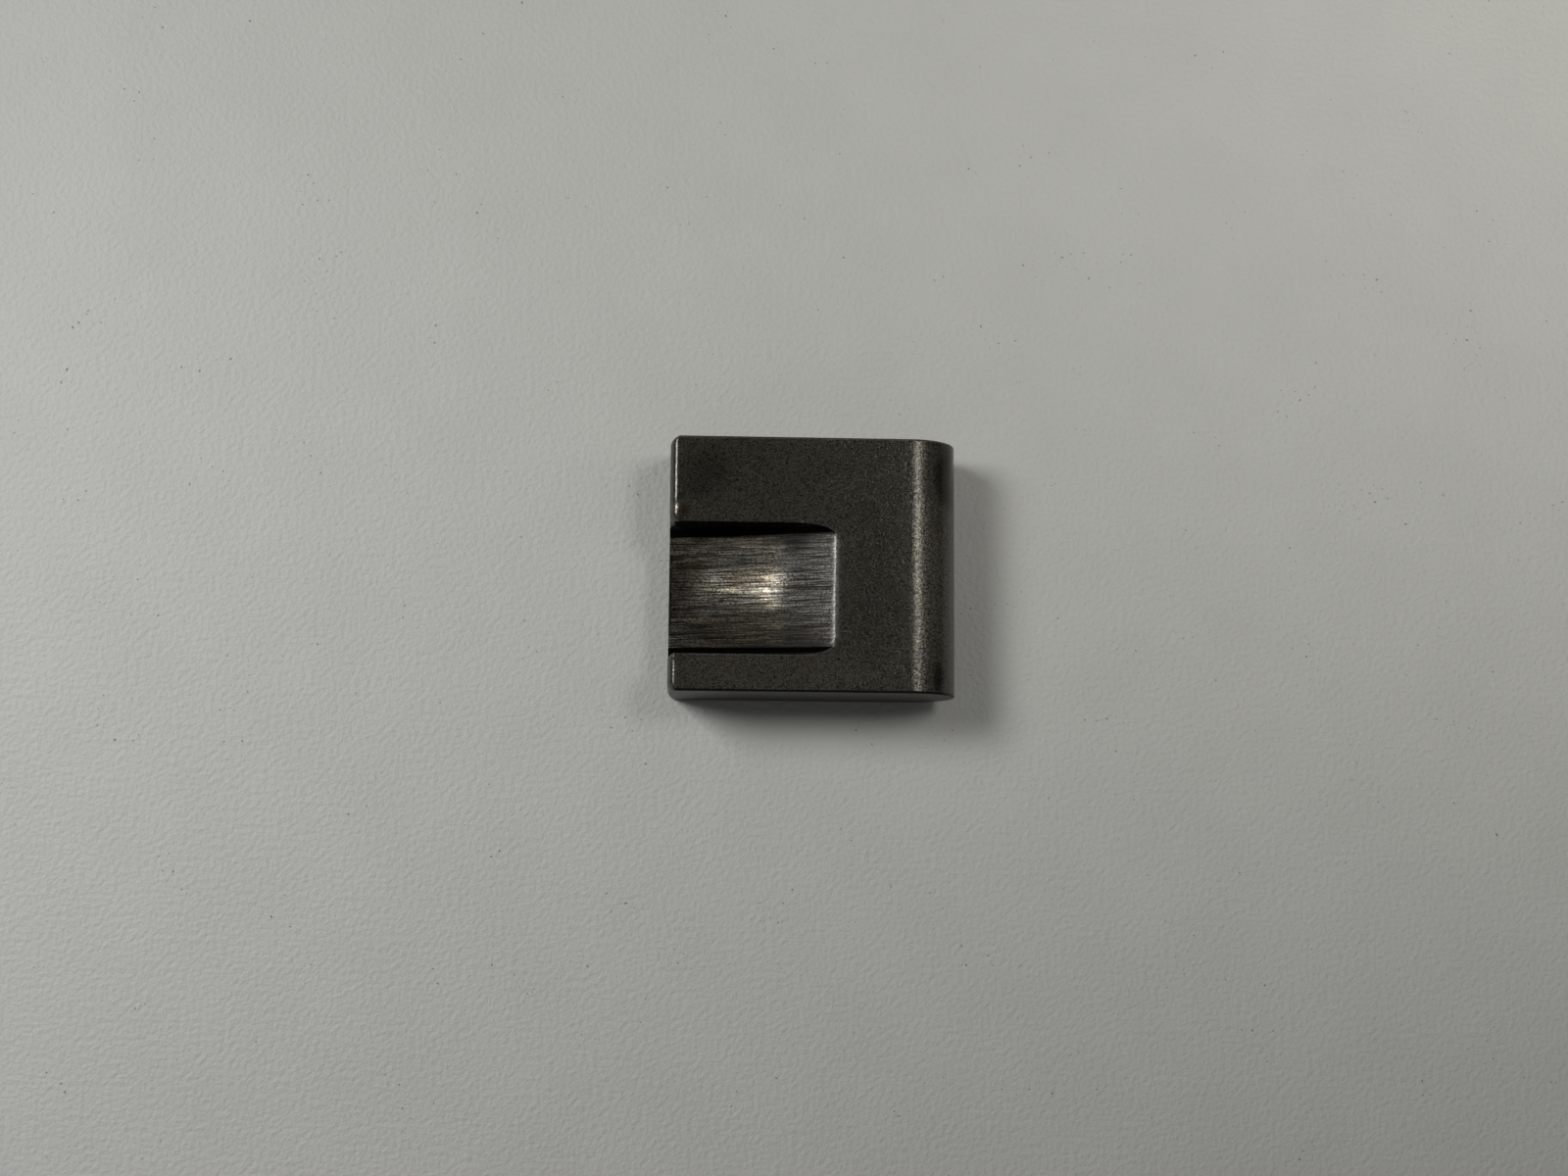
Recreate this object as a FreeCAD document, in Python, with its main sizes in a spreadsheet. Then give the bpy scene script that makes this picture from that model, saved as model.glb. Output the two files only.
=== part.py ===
"""Slotted block: flat bar with one half-round end and an off-centre slot ground in from the other."""
import FreeCAD, Part
import math
import os

import Sketcher

# The block lies flat. Its origin is the middle of its underside: +X runs to the half-round end,
# +Y to the wide land beside the slot, +Z up.
SIZES = [
    ("block_length", 28.6, "open end to the crown of the half-round end"),
    ("block_width", 25.4, "across the flat bar"),
    ("block_thickness", 9.5, "flat bar thickness and height of the half-round end"),
    ("corner_round", 0.9, "upright corners of the open end"),
    ("end_edge_round", 0.6, "flat edges of the open end, top and bottom"),
    ("long_edge_round", 0.15, "edges along both sides and round the half-round end"),
    ("back_land", 8.5, "top face left between the slot and the back side"),
    ("slot_width", 13.2, "between the slot's walls"),
    ("slot_depth", 4.2, "at the open end"),
    ("slot_edge_round", 0.1, "edges where the slot meets the top face"),
    ("mouth_round", 0.7, "upright edges of the slot's mouth"),
    ("sill_round", 0.35, "edge where the slot's floor meets the open end"),
    ("wheel_radius", 100.0, "of the wheel that the slot's floor is ground with"),
    ("wheel_lead", 16.4, "how far outside the open end the wheel's axis stands"),
    ("wheel_rim_round", 1.15, "rounded rim of the wheel, which leaves the root of both walls"),
    ("wheel_overrun", 1.0, "how far the wheel's flanks reach above the top face"),
    ("nick_offset", 1.4, "dent in the top edge of the open end, measured from the slot's back wall"),
    ("nick_radius", 0.6, "of the ball-shaped dent"),
    ("nick_depth", 0.12, "of the dent, into the rounded edge"),
]
NEAR = 1e-4
LAND_SHARE = 0.45  # most of a land's width that one rounded corner takes, since each land has two


def narrow_land(sheet):
    return min(sheet.back_land, sheet.block_width - sheet.back_land - sheet.slot_width)


def write_sizes(doc):
    sheet = doc.addObject("Spreadsheet::Sheet", "dims")
    for row, (alias, value, note) in enumerate(SIZES, start=1):
        sheet.set(f"A{row}", alias)
        sheet.set(f"B{row}", str(value))
        sheet.set(f"C{row}", note)
        sheet.setAlias(f"B{row}", alias)
    doc.recompute()
    return sheet


def origin_plane(body, role):
    return next(item for item in body.Origin.OriginFeatures if item.Role == role)


def new_sketch(body, name, role):
    sketch = body.newObject("Sketcher::SketchObject", name)
    sketch.AttachmentSupport = [(origin_plane(body, role), "")]
    sketch.MapMode = "FlatFace"
    return sketch


def add_line(sketch, start, end):
    return sketch.addGeometry(Part.LineSegment(FreeCAD.Vector(*start), FreeCAD.Vector(*end)))


def add_arc(sketch, centre, radius, first, last):
    circle = Part.Circle(FreeCAD.Vector(*centre), FreeCAD.Vector(0, 0, 1), radius)
    return sketch.addGeometry(Part.ArcOfCircle(circle, math.radians(first), math.radians(last)))


def add_size(sketch, name, formula, *constraint):
    index = sketch.addConstraint(Sketcher.Constraint(*constraint))
    sketch.renameConstraint(index, name)
    sketch.setExpression(f"Constraints.{name}", formula)


def pad_bar(doc, body, sheet):
    """Side view of the bar: three straight sides and a half circle as high as the bar is thick."""
    half_length = sheet.block_length / 2
    thickness = sheet.block_thickness
    radius = thickness / 2
    sketch = new_sketch(body, "side_view", "XZ_Plane")
    bottom = add_line(sketch, (-half_length, 0), (half_length - radius, 0))
    nose = add_arc(sketch, (half_length - radius, radius), radius, -90, 90)
    top = add_line(sketch, (half_length - radius, thickness), (-half_length, thickness))
    end = add_line(sketch, (-half_length, thickness), (-half_length, 0))
    sketch.addConstraint([
        Sketcher.Constraint("Tangent", bottom, 2, nose, 1),
        Sketcher.Constraint("Tangent", nose, 2, top, 1),
        Sketcher.Constraint("Coincident", top, 2, end, 1),
        Sketcher.Constraint("Coincident", end, 2, bottom, 1),
        Sketcher.Constraint("Vertical", end),
        Sketcher.Constraint("Horizontal", top),
        Sketcher.Constraint("Horizontal", bottom),
        Sketcher.Constraint("PointOnObject", bottom, 1, -1),
    ])
    add_size(sketch, "thickness", "dims.block_thickness", "DistanceY", end, 2, end, 1, thickness)
    add_size(sketch, "open_end", "dims.block_length / 2", "DistanceX", bottom, 1, -1, 1, half_length)
    add_size(sketch, "nose_centre", "(dims.block_length - dims.block_thickness) / 2",
             "DistanceX", -1, 1, nose, 3, half_length - radius)
    pad = body.newObject("PartDesign::Pad", "bar")
    pad.Profile = sketch
    pad.setExpression("Length", "dims.block_width")
    pad.Midplane = True
    doc.recompute()
    return pad


def grind_slot(doc, body, sheet):
    """Section of the wheel's rim, square flanks with rounded corners, turned about the wheel's axis."""
    radius = sheet.wheel_radius
    rim = sheet.wheel_rim_round
    back = sheet.block_width / 2 - sheet.back_land
    front = back - sheet.slot_width
    inner = radius - sheet.slot_depth - sheet.wheel_overrun
    sketch = new_sketch(body, "wheel_rim", "YZ_Plane")
    sketch.setExpression("AttachmentOffset.Base.z", "-dims.block_length / 2 - dims.wheel_lead")
    sketch.setExpression("AttachmentOffset.Base.y", "dims.block_thickness - dims.slot_depth"
                         " + sqrt(dims.wheel_radius ^ 2 - dims.wheel_lead ^ 2)")
    floor = add_line(sketch, (front + rim, -radius), (back - rim, -radius))
    back_root = add_arc(sketch, (back - rim, rim - radius), rim, -90, 0)
    back_flank = add_line(sketch, (back, rim - radius), (back, -inner))
    crest = add_line(sketch, (back, -inner), (front, -inner))
    front_flank = add_line(sketch, (front, -inner), (front, rim - radius))
    front_root = add_arc(sketch, (front + rim, rim - radius), rim, 180, 270)
    sketch.addConstraint([
        Sketcher.Constraint("Tangent", floor, 2, back_root, 1),
        Sketcher.Constraint("Tangent", back_root, 2, back_flank, 1),
        Sketcher.Constraint("Coincident", back_flank, 2, crest, 1),
        Sketcher.Constraint("Coincident", crest, 2, front_flank, 1),
        Sketcher.Constraint("Tangent", front_flank, 2, front_root, 1),
        Sketcher.Constraint("Tangent", front_root, 2, floor, 1),
        Sketcher.Constraint("Horizontal", floor),
        Sketcher.Constraint("Horizontal", crest),
        Sketcher.Constraint("Vertical", back_flank),
        Sketcher.Constraint("Vertical", front_flank),
        Sketcher.Constraint("Equal", front_root, back_root),
    ])
    add_size(sketch, "rim_round", "dims.wheel_rim_round", "Radius", back_root, rim)
    add_size(sketch, "width", "dims.slot_width", "DistanceX", crest, 2, crest, 1, back - front)
    add_size(sketch, "back_wall", "dims.block_width / 2 - dims.back_land",
             "DistanceX", -1, 1, crest, 1, back)
    add_size(sketch, "radius", "dims.wheel_radius", "DistanceY", floor, 1, -1, 1, radius)
    add_size(sketch, "flank_height", "dims.slot_depth + dims.wheel_overrun",
             "DistanceY", floor, 1, crest, 1, radius - inner)
    doc.recompute()
    solid_before = body.Shape.Volume
    groove = body.newObject("PartDesign::Groove", "slot")
    groove.Profile = sketch
    groove.ReferenceAxis = (sketch, ["H_Axis"])
    groove.Angle = 360
    doc.recompute()
    if not body.Shape.Volume < solid_before:
        raise RuntimeError("the slot cut nothing")
    return groove


def open_end_uprights(shape, sheet):
    """Upright edges in the plane of the open end, as (edge number, distance from the middle)."""
    end = -sheet.block_length / 2
    for number, edge in enumerate(shape.Edges, start=1):
        box = edge.BoundBox
        if abs(box.XMin - end) < NEAR and box.XLength < NEAR and box.YLength < NEAR:
            yield number, abs(box.YMin)


def round_corners(doc, body, slot, sheet):
    side = sheet.block_width / 2
    numbers = [number for number, offset in open_end_uprights(slot.Shape, sheet) if side - offset < NEAR]
    corners = body.newObject("PartDesign::Fillet", "corner_rounds")
    corners.Base = (slot, [f"Edge{number}" for number in numbers])
    front_land = "(dims.block_width - dims.back_land - dims.slot_width)"
    corners.setExpression("Radius", f"min(dims.corner_round; dims.back_land * {LAND_SHARE};"
                          f" {front_land} * {LAND_SHARE})")
    doc.recompute()
    return corners


def round_edges(doc, name, base, numbers, radius_at):
    """Fillet whose radius runs evenly along each edge between what radius_at gives for its two ends."""
    fillet = doc.addObject("Part::Fillet", name)
    fillet.Base = base
    edges = base.Shape.Edges
    rounds = []
    for number in numbers:
        start, end = (vertex.Point for vertex in edges[number - 1].Vertexes)
        rounds.append((number, radius_at(start), radius_at(end)))
    rounds.sort(key=lambda item: item[1] == item[2])
    fillet.Edges = rounds
    doc.recompute()
    return fillet


def round_mouth(doc, body, sheet):
    """The slot's outline in the open end: its upright edges more, its sill less."""
    end = -sheet.block_length / 2
    sill = sheet.block_thickness - sheet.slot_depth
    levels = (0, sheet.block_thickness)
    numbers = []
    for number, edge in enumerate(body.Shape.Edges, start=1):
        box = edge.BoundBox
        in_end = abs(box.XMin - end) < NEAR and box.XLength < NEAR
        flat_edge = box.ZLength < NEAR and any(abs(box.ZMin - level) < NEAR for level in levels)
        corner = box.ZLength > sheet.block_thickness - NEAR
        if in_end and not flat_edge and not corner:
            numbers.append(number)

    upright_round = min(sheet.mouth_round, narrow_land(sheet) * LAND_SHARE)

    def radius_at(point):
        return sheet.sill_round if point.z < sill + NEAR else upright_round

    return round_edges(doc, "mouth_rounds", body, numbers, radius_at)


def round_outline(doc, base, sheet):
    """Every edge of the top face and the underside, the slot's edges and both edges of the nose."""
    end = -sheet.block_length / 2
    side = sheet.block_width / 2
    nose_start = sheet.block_length / 2 - sheet.block_thickness / 2
    levels = (0, sheet.block_thickness)
    numbers = []
    for number, edge in enumerate(base.Shape.Edges, start=1):
        box = edge.BoundBox
        level = box.ZLength < NEAR and any(abs(box.ZMin - height) < NEAR for height in levels)
        smooth = box.XLength < NEAR and abs(box.XMin - nose_start) < NEAR
        nose_side = box.XMin > nose_start - NEAR and box.YLength < NEAR and not level
        if nose_side or (level and not smooth):
            numbers.append(number)

    end_round = min(sheet.end_edge_round, narrow_land(sheet) * LAND_SHARE)

    def radius_at(point):
        if abs(point.x - end) < NEAR:
            return end_round
        if abs(abs(point.y) - side) < NEAR:
            return sheet.long_edge_round
        return sheet.slot_edge_round

    return round_edges(doc, "edge_rounds", base, numbers, radius_at)


def dent_edge(doc, base):
    """Ball-shaped dent in the rounded top edge of the open end, sunk square to the rounding's middle."""
    ball = doc.addObject("Part::Sphere", "nick_ball")
    ball.setExpression("Radius", "dims.nick_radius")
    out = "(dims.nick_radius - dims.nick_depth) * sqrt(0.5)"
    inset = "dims.end_edge_round * (1 - sqrt(0.5))"
    ball.setExpression("Placement.Base.x", f"-dims.block_length / 2 + {inset} - {out}")
    ball.setExpression("Placement.Base.y", "dims.block_width / 2 - dims.back_land + dims.nick_offset")
    ball.setExpression("Placement.Base.z", f"dims.block_thickness - {inset} + {out}")
    cut = doc.addObject("Part::Cut", "dented_block")
    cut.Base = base
    cut.Tool = ball
    doc.recompute()
    if not cut.Shape.Volume < base.Shape.Volume:
        raise RuntimeError("the dent cut nothing")
    return cut


def check(doc, part):
    for item in doc.Objects:
        if "Invalid" in item.State or "Error" in item.State:
            raise RuntimeError(f"{item.Name} failed: {item.State}")
    if part.Shape.isNull() or not part.Shape.isValid() or len(part.Shape.Solids) != 1:
        raise RuntimeError(f"{part.Label} isn't one valid solid")


def main():
    doc = FreeCAD.newDocument("slotted_block")
    sheet = write_sizes(doc)
    body = doc.addObject("PartDesign::Body", "ground_bar")
    pad_bar(doc, body, sheet)
    slot = grind_slot(doc, body, sheet)
    round_corners(doc, body, slot, sheet)
    mouth = round_mouth(doc, body, sheet)
    rounded = round_outline(doc, mouth, sheet)
    block = dent_edge(doc, rounded)
    block.Label = "slotted_block"
    block.Placement = FreeCAD.Placement(FreeCAD.Vector(0, 0, 0), FreeCAD.Rotation())
    doc.recompute()
    check(doc, block)
    os.makedirs("parts", exist_ok=True)
    block.Shape.exportStep(f"parts/{block.Label}.step")


main()
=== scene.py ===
import math

import bmesh
import bpy
import numpy as np
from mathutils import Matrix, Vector, noise


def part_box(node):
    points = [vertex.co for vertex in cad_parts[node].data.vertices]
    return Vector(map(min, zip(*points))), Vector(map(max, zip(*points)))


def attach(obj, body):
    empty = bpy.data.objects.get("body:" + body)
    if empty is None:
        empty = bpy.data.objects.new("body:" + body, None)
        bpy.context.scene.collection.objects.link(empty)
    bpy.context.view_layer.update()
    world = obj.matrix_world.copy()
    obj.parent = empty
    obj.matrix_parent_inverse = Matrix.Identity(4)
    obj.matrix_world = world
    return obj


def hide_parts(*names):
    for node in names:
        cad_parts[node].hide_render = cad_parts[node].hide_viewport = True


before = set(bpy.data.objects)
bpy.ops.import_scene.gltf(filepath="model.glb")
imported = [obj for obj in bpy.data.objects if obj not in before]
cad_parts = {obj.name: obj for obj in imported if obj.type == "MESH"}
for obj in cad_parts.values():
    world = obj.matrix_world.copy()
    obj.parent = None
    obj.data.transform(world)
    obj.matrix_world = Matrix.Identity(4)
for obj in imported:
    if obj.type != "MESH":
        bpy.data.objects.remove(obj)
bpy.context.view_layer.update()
mm = 0.001

# sizes of the block in millimetres, in the same frame as the solid
solid = "slotted_block"
low, high = (np.array(corner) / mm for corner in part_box(solid))
width, thickness = (high - low)[1:]
blockSize = {
    "cornerRound": 0.9,  # upright corners of the open end
    "endRound": 0.6,  # top edge of the open end
    "endFlank": (0.2, 76.0),  # the steep flank under it: how far it leans out, and its slope in degrees
    "footRound": 0.6,  # bottom edge of the open end
    "edgeRound": 0.2,  # edges along both sides and round the nose
    "slotMiddle": -2.46,  # across the block
    "slotWidth": 13.08,
    "slotDepth": 4.2,  # at the open end
    "rimRound": 0.1,  # edge between the slot and the top face
    "mouthRounds": (0.65, 0.95),  # front and back upright edges of the slot's mouth
    "sillRound": 0.1,
    "wheelRadius": 100.0,  # the slot's floor is the wheel's arc
    "wheelLead": 16.4,  # wheel's axis, outside the open end
    "rootRound": 1.15,
    "runOutBlend": 0.05,  # height over which the floor's end melts into the top face
    "grooveDepth": 0.0035,  # grinding lines in the floor
    "ragged": 0.016,  # unevenness of the floor's end
    "floorLean": 0.0035,  # the floor falls a little towards the wide land
    # noises: how fine across and along, per millimetre, and their share
    "raggedNoise": [(0.7, 0.3, 0.7), (2.3, 1.0, 0.7), (5.1, 2.0, 0.5)],
    "grooveNoise": [(3.1, 0.12, 1.0), (7.3, 0.2, 0.6)],
    "grooveLean": 0.03,  # how much the grinding lines lean, from this far along the block
    "grooveLeanFrom": -5,
}
rubbedAndSheen = {  # how bright the edges are, and over how many millimetres: rubbed wear, partly a painted highlight and sheen
    "end": 0.24,
    "endReach": 0.14,
    "endPlace": 0.7,  # share of the end's rounding where it is brightest
    "backEdge": 0.2,
    "backEdgeNose": 0.1,  # added towards the nose
    "runOut": 1.0,
    "runOutReach": 1.7,  # in heights of the run-out's blend
    "rim": 0.35,
    "frontRim": 0.24,
    "frontRimReach": 0.12,
    "frontRimEnd": 2.2,  # it stops so far before the run-out
}
dents = [  # on the top face
    {"at": (-13.9, 5.6), "radius": 0.75, "depth": 0.07},
    {"at": (-14.0, 6.15), "radius": 0.28, "depth": 0.05},
    {"at": (-1.26, 4.28), "radius": 0.2, "depth": 0.05},
    {"at": (-3.1, 4.24), "radius": 0.16, "depth": 0.03},
    {"at": (-14.05, -9.2), "radius": 0.3, "depth": 0.03},
    {"at": (1.7, 12.5), "radius": 0.35, "depth": 0.04},
    {"at": (-6.4, -9.05), "radius": 0.25, "depth": 0.03},
]
meshSteps = {
    "endRound": 20,
    "plain": 0.24,  # mm between stations along the block
    "runOut": 0.04,
    "runOutReach": 0.4,
    "nose": 58,  # round the half circle
    "edge": 4,
    "edgeLand": 0.06,  # the first point on a land, beside the edge
    "lands": (20, 60),  # front and back
    "rim": 3,
    "wall": 22,
    "root": 40,  # points of the slot's curve: root, then flat floor
    "flat": 30,
    "floor": 84,
    "side": 16,
    "endRing": 0.05,  # a narrow ring round the flat end face
}
s = blockSize
openEnd = low[0]
noseRadius = thickness / 2
noseX = high[0] - noseRadius
axisX = openEnd - s["wheelLead"]
axisZ = thickness - s["slotDepth"] + math.sqrt(s["wheelRadius"] ** 2 - s["wheelLead"] ** 2)
runOutX = axisX + math.sqrt(s["wheelRadius"] ** 2 - (axisZ - thickness) ** 2)


def insetAt(distance, radius):
    # how far a rounded edge draws in, at a distance from the open end
    if distance >= radius:
        return 0.0
    return radius - math.sqrt(radius**2 - (radius - distance) ** 2)


def endDrop(distance):
    # how far the top has fallen, at a distance from the open end
    flank, slope = s["endFlank"][0], math.radians(s["endFlank"][1])
    r = s["endRound"]
    run = flank + r * math.sin(slope) - distance
    if run <= 0:
        return 0.0
    if distance >= flank:
        return r - math.sqrt(r**2 - run**2)
    return r * (1 - math.cos(slope)) + (flank - distance) * math.tan(slope)


def cornerDrop(distance, past, radius):
    # the same drop carried round an upright corner, narrower and narrower, and the way in from the edge:
    # past is how far each point lies beyond the corner's centre line
    ahead = radius - distance
    if ahead <= 0:
        return np.full(len(past), endDrop(distance)), np.full(len(past), distance)
    past = np.maximum(past, 0)
    turn = np.arctan2(past, ahead) / (math.pi / 2)
    wayIn = np.maximum(0, radius - np.hypot(ahead, past)) / (1 - 0.75 * turn**2)
    return np.array([endDrop(way) for way in wayIn]) * (1 - turn**2), wayIn


def stationsAlong():
    # x of the cross sections from the open end to the nose
    turn = np.linspace(0, math.pi / 2, meshSteps["endRound"] + 1)
    rounded = openEnd + s["cornerRound"] * (1 - np.cos(turn))
    reach = meshSteps["runOutReach"]
    fine = np.arange(runOutX - reach, runOutX + reach, meshSteps["runOut"])
    spans = [(rounded[-1], fine[0]), (fine[-1], noseX)]
    plain = [np.linspace(a, b, int((b - a) / meshSteps["plain"]) + 2) for a, b in spans]
    return np.concatenate([rounded[:-1], plain[0][:-1], fine, plain[1][1:]])


def wander(y, x, scales):
    # smooth unevenness between about -1 and 1, made of several noises
    return np.array([sum(share * noise.noise(Vector((v * across, x * along, across)))
                         for across, along, share in scales) for v in y])


def wheelDepth(x, distance, y, rise=0.0):
    # depth of the ground floor under the top face, y measured from the slot's middle line
    floor = axisZ - np.sqrt((s["wheelRadius"] - rise) ** 2 - (x - axisX) ** 2)
    depth = thickness - endDrop(distance) - floor + insetAt(distance, s["sillRound"]) + s["floorLean"] * y
    shallow = np.clip(1 - depth / 0.4, 0, 1)
    return depth + s["ragged"] * wander(y, x, s["raggedNoise"]) * shallow


def slotCurve(x, distance, side):
    # distance from the slot's middle line and depth, from the wall's foot to the middle of the floor
    wall = s["slotWidth"] / 2 + insetAt(distance, s["mouthRounds"][side])
    foot = wall - s["rootRound"]
    turn = np.linspace(math.pi / 2, 0, meshSteps["root"])
    flat = np.linspace(foot, 0, meshSteps["flat"])[1:]
    across = np.concatenate([foot + s["rootRound"] * np.sin(turn), flat])
    rise = np.concatenate([s["rootRound"] * (1 - np.cos(turn)), np.zeros(len(flat))])
    return wall, foot, across, wheelDepth(x, distance, across * (-1, 1)[side], rise)


def halfLine(x, distance, side, edge, slotted):
    # one half of a line across the top, from the side edge to the slot's floor: (across, depth)
    edgeAt = edge - insetAt(distance, s["cornerRound"])
    r = s["edgeRound"]
    turn = np.linspace(0, math.pi / 2, meshSteps["edge"] + 1)
    edgeLine = np.stack([edgeAt - r + r * np.cos(turn), r - r * np.sin(turn)], 1)
    wall, foot, across, depth = slotCurve(x, distance, side)
    cut = foot
    curve = np.array([[foot, 0.0], [foot - 1.5, 0.0]])  # a flat stretch where there is no slot
    if slotted and depth[0] > 0:
        cut = wall
        curve = np.concatenate([[[wall, 0]], np.stack([across, depth], 1)])
    elif slotted and depth[: meshSteps["root"] + 20].max() > 0:  # the top face cuts through the root
        first = int(np.argmax(depth > 0))
        share = -depth[first - 1] / (depth[first] - depth[first - 1])
        cut = across[first - 1] + share * (across[first] - across[first - 1])
        curve = np.concatenate([[[cut, 0]], np.stack([across, depth], 1)[first:]])
    # the rim: a short bend between the land and the curve
    reach = s["rimRound"]
    steps = np.concatenate([[0], np.cumsum(np.linalg.norm(np.diff(curve, axis=0), axis=1))])
    goal = np.array([np.interp(reach, steps, curve[:, k]) for k in (0, 1)])
    start, corner = np.array([cut + reach, 0]), np.array([cut, 0])
    t = np.linspace(0, 1, meshSteps["rim"] + 1)[:, None]
    rim = (1 - t) ** 2 * start + 2 * t * (1 - t) * corner + t**2 * goal
    # the wall and the root, evenly spaced down to the floor
    inner = min(foot, cut - 0.5)
    total = steps[-1] - (inner - curve[-1, 0])
    along = np.linspace(reach, total, meshSteps["wall"] + 1)[1:]
    wallLine = np.stack([np.interp(along, steps, curve[:, k]) for k in (0, 1)], 1)
    landEnd = edgeLine[-1, 0]
    share = np.linspace(0, 1, meshSteps["lands"][side] + 1)[1:-1]
    share = np.concatenate([[meshSteps["edgeLand"] / (landEnd - cut - reach)], share])
    land = np.stack([landEnd + share * (cut + reach - landEnd), np.zeros(len(share))], 1)
    line = np.concatenate([edgeLine, land, rim, wallLine])
    return line, np.stack([across, depth]), cut


def acrossLine(x, distance, slotted):
    # a whole line across the block: y and depth under the face, and how worn and highlit (rubbed wear with a
    # painted highlight), how dark (painted shade) and how ground each point is
    middle = s["slotMiddle"]
    front, frontCurve, frontCut = halfLine(x, distance, 0, middle - low[1], slotted)
    back, backCurve, backCut = halfLine(x, distance, 1, high[1] - middle, slotted)
    floorY = np.linspace(-front[-1, 0], back[-1, 0], meshSteps["floor"] + 1)[1:-1]
    floor = np.stack([floorY, wheelDepth(x, distance, floorY) if slotted else np.zeros(len(floorY))], 1)
    line = np.concatenate([front * [-1, 1], floor, back[::-1]])
    y, depth = line.T
    wearAndSheen, dark, ground = np.zeros((3, len(y)))
    # painted shade: the front edge's rounding painted dark, standing in for the dark it reflects
    dark[1 : meshSteps["edge"] + 1] = float(distance > s["endRound"])  # front edge
    # the back edge: rubbed wear with a painted reflection, lighter towards the nose
    wearAndSheen[-1 - meshSteps["edge"] :] = rubbedAndSheen["backEdge"] + rubbedAndSheen["backEdgeNose"] * min(1, max(0, x / 4))
    if slotted:
        # the floor's end melts into the top face
        blend = s["runOutBlend"]
        far = 9.0  # beyond the slot
        gap = np.where(y < 0, np.interp(-y, *frontCurve[:, ::-1], right=far),
                       np.interp(y, *backCurve[:, ::-1], right=far))
        depth = np.maximum(depth, 0) + blend / 4 * np.clip(1 - np.abs(gap) / blend, 0, 1) ** 2
        onFloor = (y > -front[-1, 0] - 0.01) & (y < back[-1, 0] + 0.01)
        leaning = y - s["grooveLean"] * max(0.0, x - s["grooveLeanFrom"])
        grooves = s["grooveDepth"] * wander(leaning, x, s["grooveNoise"])
        depth += onFloor * grooves * np.clip(depth / blend, 0, 1)
        # the run-out's line and the rim beside it: rubbed wear, brightened into a painted highlight and sheen
        floorWearAndSheen = rubbedAndSheen["runOut"] * np.exp(-((gap / blend / rubbedAndSheen["runOutReach"]) ** 2))
        rimWearAndSheen = rubbedAndSheen["rim"] * np.exp(-((gap / blend) ** 2))
        wearAndSheen = np.maximum(wearAndSheen, np.where(onFloor, floorWearAndSheen, rimWearAndSheen))
        frontRim = (y < -frontCut) & (y > -frontCut - rubbedAndSheen["frontRimReach"])
        wearAndSheen[frontRim & (distance > 1) & (x < runOutX - rubbedAndSheen["frontRimEnd"])] = rubbedAndSheen["frontRim"]
        ground = (y > -frontCut - 0.001) & (y < backCut + 0.001) & (depth > 0.03)
        for dent in dents:
            away = np.hypot(x - dent["at"][0], y + middle - dent["at"][1]) / dent["radius"]
            depth += dent["depth"] * np.clip(1 - away**2, 0, 1) ** 2
        drop = np.full(len(y), endDrop(distance))
        brightest = s["endFlank"][0] + rubbedAndSheen["endPlace"] * s["endRound"]
        sides = (-1, middle - low[1], frontCut), (1, high[1] - middle, backCut)
        for (sign, edge, cut), r in zip(sides, s["mouthRounds"]):
            outward = sign * y
            outer, outerWay = cornerDrop(distance, outward - (edge - s["cornerRound"]), s["cornerRound"])
            inner, innerWay = cornerDrop(distance, s["slotWidth"] / 2 + r - np.maximum(outward, cut), r)
            fade = np.where(outward > cut, 1, np.clip(1 - depth / 2.5, 0, 1))  # less and less down the wall
            onSide = outward > 0
            drop += onSide * (outer - endDrop(distance))
            drop += onSide * fade * (inner - endDrop(distance))
            wayIn = np.where(outward > s["slotWidth"] / 2 + r, outerWay, innerWay)
            # the open end's top edge: rubbed wear, brightest where its highlight falls, so partly a painted
            # highlight
            endWearAndSheen = rubbedAndSheen["end"] * np.exp(-(((wayIn - brightest) / rubbedAndSheen["endReach"]) ** 2))
            wearAndSheen = np.maximum(wearAndSheen, (outward > cut) * endWearAndSheen)
            ground &= outward < s["slotWidth"] / 2 + 0.15 * r
        depth += drop
    else:
        depth += insetAt(distance, s["footRound"])
    return np.stack([y + middle, depth, wearAndSheen, dark, ground], 1)


def blockSkin():
    # stations along the top, round the nose and back along the underside
    xs = stationsAlong()
    turns = np.linspace(0, math.pi, meshSteps["nose"] + 1)[1:-1]
    path = [(x, 0.0, True) for x in xs] + [(noseX, turn, False) for turn in turns]
    path += [(x, math.pi, False) for x in xs[::-1]]
    rows = []
    for x, turn, slotted in path:
        distance = x - openEnd
        y, depth, *looks = acrossLine(x, distance, slotted).T
        reach = noseRadius - depth
        rows.append(np.stack([x + reach * math.sin(turn), y, noseRadius + reach * math.cos(turn), *looks], 1))
    return np.array(rows)


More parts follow.
